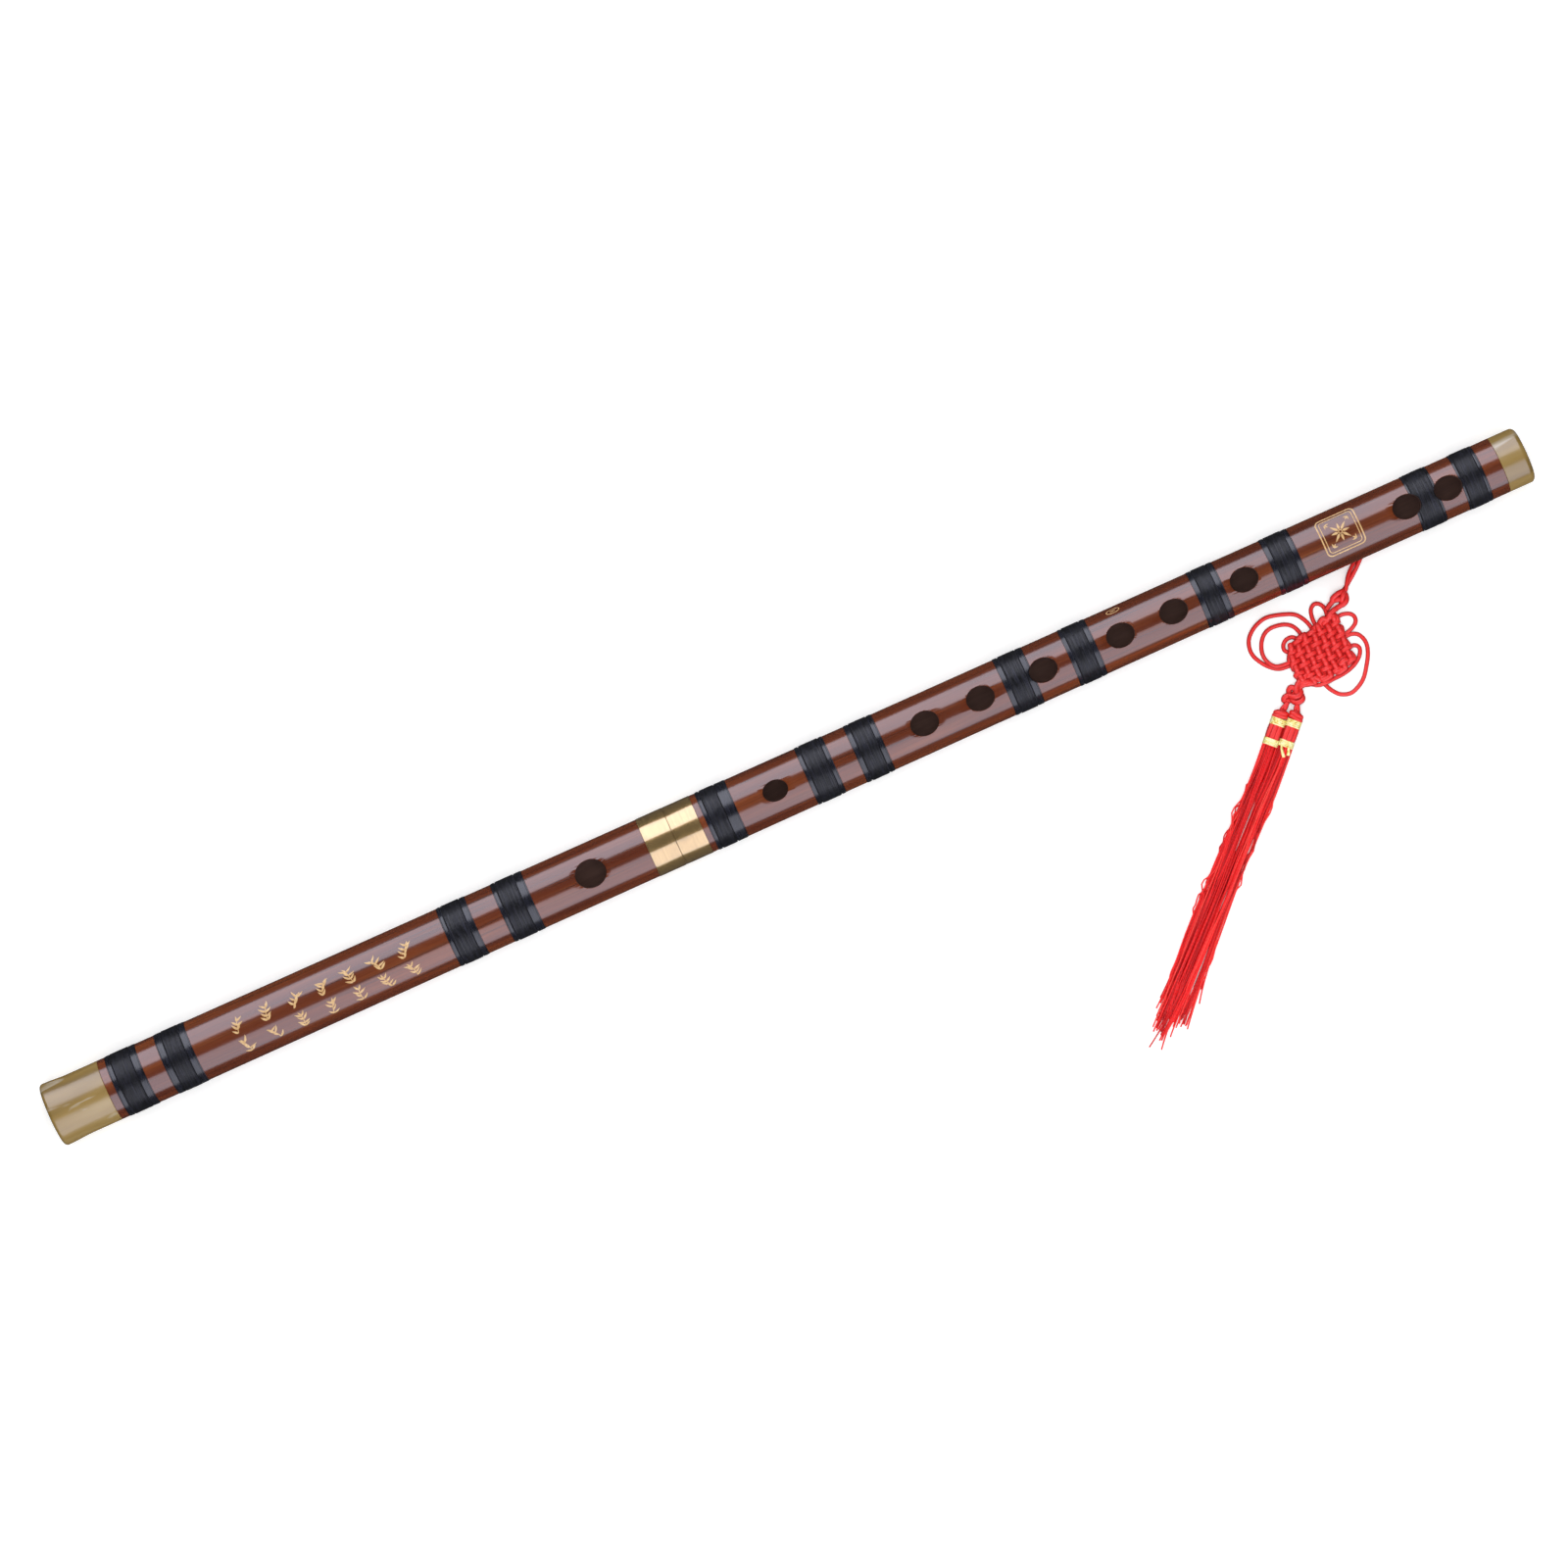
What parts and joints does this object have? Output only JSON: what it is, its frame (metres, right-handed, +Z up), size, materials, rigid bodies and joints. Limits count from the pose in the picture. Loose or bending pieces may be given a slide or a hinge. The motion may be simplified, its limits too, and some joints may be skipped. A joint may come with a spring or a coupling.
{
  "type": "transverse bamboo flute with knotted tassel",
  "caption": "Side-blown bamboo flute in sections, with thread bindings, a brass slip joint, horn end caps and a red knotted cord pendant with long tassels.",
  "frame": {"origin": "under the middle of the flute's length, on the surface that it lies on", "axes": "+X along the flute from the head end to the foot end, +Z up out of the finger holes, the pendant lies towards -Y"},
  "size_m": [0.67, 0.174, 0.0276],
  "materials": {
    "bamboo": "stained and varnished bamboo with fine dark grain along its length",
    "horn": "polished horn-like resin with milky streaks",
    "dark_thread": "tight lacquered thread winding",
    "brass": "brushed round the joint",
    "cork": "matte cork",
    "red_cord": "satin braided cord",
    "red_strands": "silky tassel strands",
    "gold_thread": "metallic gold thread"
  },
  "bodies": {
    "body_section": {"body_tube": "bamboo", "foot_end_cap": "horn", "body_ferrule": "brass", "joint_socket": "brass", "thread_binding_05": "dark_thread", "thread_binding_06": "dark_thread", "thread_binding_07": "dark_thread", "thread_binding_08": "dark_thread", "thread_binding_09": "dark_thread", "thread_binding_10": "dark_thread", "thread_binding_11": "dark_thread", "thread_binding_12": "dark_thread", "thread_binding_13": "dark_thread", "threaded_cord": "red_cord"},
    "tenon": {"joint_tenon": "brass"},
    "head_section": {"head_tube": "bamboo", "head_end_cap": "horn", "head_ferrule": "brass", "head_cork": "cork", "thread_binding_01": "dark_thread", "thread_binding_02": "dark_thread", "thread_binding_03": "dark_thread", "thread_binding_04": "dark_thread"},
    "pendant": {"hanging_cord": "red_cord", "top_button_knot": "red_cord", "endless_knot": "red_cord", "ear_loop_top": "red_cord", "ear_loop_right": "red_cord", "ear_loop_left": "red_cord", "wing_loop_left_outer": "red_cord", "wing_loop_left_inner": "red_cord", "wing_loop_right_outer": "red_cord", "wing_loop_right_inner": "red_cord", "lower_button_knot": "red_cord"},
    "tassel_1": {"tassel_head_1": "red_cord", "upper_gold_band_1": "gold_thread", "lower_gold_band_1": "gold_thread", "strand_skirt_1": "red_strands"},
    "tassel_2": {"tassel_head_2": "red_cord", "upper_gold_band_2": "gold_thread", "lower_gold_band_2": "gold_thread", "strand_skirt_2": "red_strands"}
  },
  "joints": [
    {"name": "tuning_slide", "type": "slide", "parent": "body_section", "child": "tenon", "axis": [-1, 0, 0], "range_m": [0, 0.015]},
    {"name": "head_turn", "type": "hinge", "parent": "tenon", "child": "head_section", "pos_m": [-0.0519, 0, 0.01373], "axis": [1, 0, 0], "continuous": true},
    {"name": "pendant_swing", "type": "hinge", "parent": "body_section", "child": "pendant", "pos_m": [0.261, -0.00723, 0.00341], "axis": [0.6842, -0.7293, 0], "range_deg": [0, 90], "deforming": ["hanging_cord"]},
    {"name": "tassel_1_swing", "type": "hinge", "parent": "pendant", "child": "tassel_1", "pos_m": [0.20627, -0.05925, 0.0032], "axis": [0, 0, 1], "range_deg": [0, 25]},
    {"name": "tassel_2_swing", "type": "hinge", "parent": "pendant", "child": "tassel_2", "pos_m": [0.20045, -0.05564, 0.0032], "axis": [0, 0, 1], "range_deg": [-25, 0]}
  ]
}
